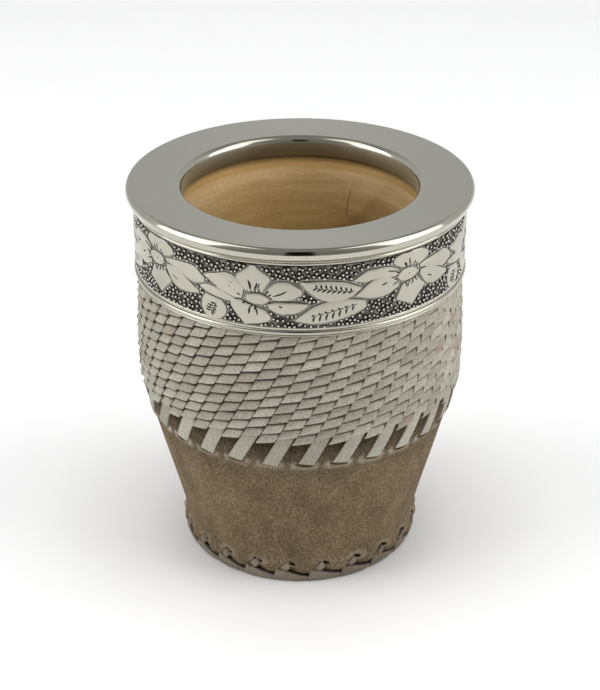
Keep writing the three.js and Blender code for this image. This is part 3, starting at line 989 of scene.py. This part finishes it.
def scatterGrains(b, marks, chance):  # grains punched close together by hand, clear of the petals
    length = math.tau * b["radius"]
    tree = KDTree(len(marks) * 3)
    for i, (x, z) in enumerate(marks):
        for wrap in (-1, 0, 1):
            tree.insert((x % length + wrap * length, z, 0), i)
    tree.balance()
    pitch = b["grainPitch"]
    columns = int(length / pitch)
    cells, places = {}, []
    for _ in range(b["grainTries"]):
        x = chance.uniform(0, length)
        z = chance.uniform(b["bottom"] + b["grainBottom"], b["top"] - b["grainTop"])
        column, row = int(x / pitch) % columns, int(z / pitch)
        cellsNear = [((column + i) % columns, row + j) for i in (-1, 0, 1) for j in (-1, 0, 1)]
        near = [other for cell in cellsNear for other in cells.get(cell, [])]
        if any(math.hypot(x - u, z - v) < pitch for u, v in near):
            continue
        if tree.find((x, z, 0))[2] < b["grainClear"]:
            continue
        cells.setdefault((column, row), []).append((x, z))
        places.append((x, z))
    return places


def layGrain(store, x, z, size):
    def place(across, up, out):
        return bandPlace(x + across * size, z + up * size, out * size)

    layShape(store, grainShape, place, top=lambda across, up, out: clamp((out - 0.1) / 0.6))


def makeGrains(b, marks):
    chance = random.Random(b["seed"])
    places = scatterGrains(b, marks, chance)
    store = newStore("top")
    for x, z in places:
        layGrain(store, x, z, b["grainRadius"] * chance.uniform(*b["grainSpread"]))
    print("grains punched", len(places))
    return makePiece("band_grains", joinStore(store), [grainFinish], 80)


petalMarks = makeBand(band)
ground = makeGround(band)
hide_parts("chased_band")
makeGrains(band, petalMarks)
print("band chased")


# bead ring under the band, with the joint where its ends meet

bead = {
    "steps": 192, "inner": 39.15, "shoulder": 40.1, "bottom": 74.75, "top": 76.4, "notch": (40.02, 75.25),
    "footAt": (40.1, 74.97), "footRadius": 0.22, "roundAt": (39.95, 75.82), "roundRadius": 0.66,
    "jointAt": 12.9, "jointWidth": 0.09, "jointRadius": 40.55, "jointDepth": 0.5, "jointLevel": 75.75,
    "jointReach": 0.9,
}


def makeBead(b):
    foot = arcPoints(b["footAt"], b["footRadius"], -90, 60, 6)
    bulge = arcPoints(b["roundAt"], b["roundRadius"], -58, 60, 12)
    profile = ([(b["inner"], b["bottom"]), (b["shoulder"], b["bottom"])] + foot + [b["notch"]] + bulge
               + [(b["shoulder"], b["top"]), (b["inner"], b["top"])])
    bm = spinProfile(profile, b["steps"])
    piece = makePiece("band_bead_ring", bm, [beadMetal, grooveMetal], 40)

    def place(x, y, out):
        radius = b["jointRadius"] + b["jointDepth"] * out
        return around(b["jointAt"] + b["jointWidth"] * y, radius, b["jointLevel"] + b["jointReach"] * x)

    joint = newStore()
    layShape(joint, ball, place)
    carve(piece, joinStore(joint), grooveMetal)
    return piece


beadPiece = makeBead(bead)
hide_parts("band_bead")


# rim plate: lip in the mouth, flat top, rolled edge, cavetto and fillet

rim = {
    "steps": 256, "mouth": 28.5, "lipEnd": 91.5, "lipTop": 96.55, "lipRound": 1.6, "wall": 0.62, "top": 97.0,
    "edge": 42.0, "turns": [(90, 65, 0.8), (65, 40, 1.1), (40, 10, 2.0), (10, -20, 0.6)],  # from, to, radius
    "hollow": [(41.86, 95.25), (41.8, 94.95), (41.7, 94.62), (41.55, 94.32), (41.3, 94.08), (40.95, 93.84),
               (40.62, 93.56)],
    "filletAt": (40.12, 92.93), "filletRadius": 0.44, "skirt": 39.2, "skirtEnd": 92.44, "under": 95.2,
    "dullRadius": 30.4, "dullBelow": 96.96, "sleeveBelow": 95.3,
}


def edgeBends(r):
    points = [(0.0, 0.0)]
    for start, end, radius in r["turns"]:
        x, z = points[-1]
        base = arcPoints((0, 0), radius, start, end, 8)
        points += [(x + px - base[0][0], z + pz - base[0][1]) for px, pz in base[1:]]
    reach = max(x for x, _ in points)
    return [(r["edge"] - reach + x, r["top"] + z) for x, z in points]


def rimProfile(r):
    mouth, lipEnd, wall = r["mouth"], r["lipEnd"], r["mouth"] + r["wall"]
    sleeve = [(wall, lipEnd), (mouth + 0.12, lipEnd), (mouth + 0.02, lipEnd + 0.15)]
    lip = arcPoints((mouth + r["lipRound"], r["lipTop"] - r["lipRound"]), r["lipRound"], 180, 88, 14)
    roll = edgeBends(r)
    flat = [(blend(lip[-1][0], roll[0][0], t), blend(r["lipTop"], r["top"], t ** 1.2))
            for t in (0.15, 0.35, 0.6, 0.85)]
    fillet = arcPoints(r["filletAt"], r["filletRadius"], 40, -88, 10)
    skirt = [(r["skirt"], r["skirtEnd"]), (r["skirt"], r["under"]), (wall, r["under"])]
    return sleeve + lip + flat + roll + r["hollow"] + fillet + skirt


def makeRim(r):
    bm = spinProfile(rimProfile(r), r["steps"])
    piece = makePiece("rim_plate_turned", bm, [rimMetal, lipMetal, sleeveMetal], 38)
    for face in piece.data.polygons:  # the lip and the sleeve down in the mouth are less polished
        if face.center.xy.length < r["dullRadius"] * mm and face.center.z < r["dullBelow"] * mm:
            face.material_index = 1 if face.center.z > r["sleeveBelow"] * mm else 2
    return piece


rimPiece = makeRim(rim)
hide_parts("rim_plate")
print("rim turned")


# studio

studio = {
    "skyFront": (0.28, 0.28, 0.275), "skySide": (0.8, 0.8, 0.8), "skyBack": (0.63, 0.65, 0.665),
    "skyTop": (0.3, 0.3, 0.3), "topZone": (0.5, 0.8), "middleHalf": 0.06,
    "aside": (0.88, 0.88, 0.88), "floor": (0.93, 0.93, 0.93), "floorSize": (6.0, 6.0),
    "flag": (0.004, 0.004, 0.004), "flagSize": (0.062, 0.2), "flagAt": (0.0, -0.21, 0.18),
    "cameraAt": (0.0, -0.3816, 0.2529), "pitch": 27.814, "lens": 89.15, "sensor": 36,
}
lamps = {  # place, target, settings
    "top": ((0.82, -0.2, 1.0), (0, 0, 0.05), {"energy": 3.5, "size": 0.7, "size_y": 1.1}),
    "wing": ((0.95, -0.2, 0.45), (0, 0, 0.05), {"energy": 2.8, "size": 0.8, "size_y": 0.7}),
    "fill": ((0.0, -0.05, 0.9), (0, 0, 0.05), {"energy": 2.7, "size": 0.45, "size_y": 0.45}),
    "backdrop": ((0.0, 1.8, 1.6), (0, 1.8, 0), {"energy": 9.0, "size": 3.0, "size_y": 1.6}),
    "snoot": ((0.3, -0.7, 0.53), (-0.01, 0.029, 0.0885),
              {"energy": 18.0, "spot_size": math.radians(5.4), "spot_blend": 0.7, "shadow_soft_size": 0.04}),
}


def addLamp(name, kind="AREA", side=1):
    (x, y, z), target, settings = lamps[name]
    light = bpy.data.lights.new(name, kind)
    if kind == "AREA":
        light.shape = "RECTANGLE"
    for key, value in settings.items():
        setattr(light, key, value)
    lamp = bpy.data.objects.new(name, light)
    lamp.location = (side * x, y, z)
    lamp.rotation_euler = (Vector(target) - lamp.location).to_track_quat("-Z", "Y").to_euler()
    bpy.context.collection.objects.link(lamp)
    return lamp


def addCard(name, size, at, tilt, colour):
    bm = bmesh.new()
    bmesh.ops.create_grid(bm, x_segments=8, y_segments=8, size=0.5)
    for vert in bm.verts:
        x, y = vert.co.x * size[0], vert.co.y * size[1]
        vert.co = Vector((x, y * math.cos(tilt), y * math.sin(tilt))) + Vector(at)
    mesh = bpy.data.meshes.new(name)
    bm.to_mesh(mesh)
    bm.free()
    material, _, shader = newMaterial(name + "_paper")
    setInputs(shader, Base_Color=colour, Roughness=0.9, Specular_IOR_Level=0.1)
    mesh.materials.append(material)
    card = bpy.data.objects.new(name, mesh)
    bpy.context.collection.objects.link(card)
    return card


def makeSky(s):  # brighter at the sides and behind than in front and above
    world = bpy.data.worlds.new("studio")
    world.use_nodes = True
    tree = world.node_tree
    vector = tree.nodes.new("ShaderNodeTexCoord").outputs["Generated"]
    x, y, z = addNode(tree, "ShaderNodeSeparateXYZ", Vector=vector).outputs
    share = addMath(tree, "MULTIPLY_ADD", y, 0.5, 0.5)
    colour = addRamp(tree, share, [(0.1, s["skyFront"]), (0.5, s["skySide"]), (0.9, s["skyBack"])])
    aside = addMath(tree, "ABSOLUTE", x)
    colour = darken(tree, colour, addRamp(tree, aside, [(0.0, white), (s["middleHalf"], s["aside"])]))
    colour = addMix(tree, addRange(tree, z, *s["topZone"]), colour, s["skyTop"])
    setInputs(tree.nodes["Background"], Color=colour)
    bpy.context.scene.world = world


def addCamera(s):
    camera = bpy.data.cameras.new("camera")
    camera.lens = s["lens"]
    camera.sensor_width = s["sensor"]
    view = bpy.data.objects.new("camera", camera)
    view.location = s["cameraAt"]
    view.rotation_euler = (math.radians(90 - s["pitch"]), 0, 0)
    bpy.context.collection.objects.link(view)
    bpy.context.scene.camera = view


def makeStudio(s):
    makeSky(s)
    addCard("floor", s["floorSize"], (0, 0, 0), 0.0, s["floor"])
    flag = addCard("flag", s["flagSize"], s["flagAt"], math.radians(90), s["flag"])  # seen in the metal only
    flag.visible_camera = False
    flag.visible_diffuse = False
    flag.visible_shadow = False
    for side in (-1, 1):
        addLamp("top", side=side)
        addLamp("wing", side=side)
    for lamp in (addLamp("fill"), addLamp("backdrop"), addLamp("snoot", "SPOT")):
        lamp.visible_glossy = False  # gives light but isn't mirrored in the metal
    addCamera(s)
    bpy.context.scene.view_settings.view_transform = "Standard"


makeStudio(studio)
print("studio lit")
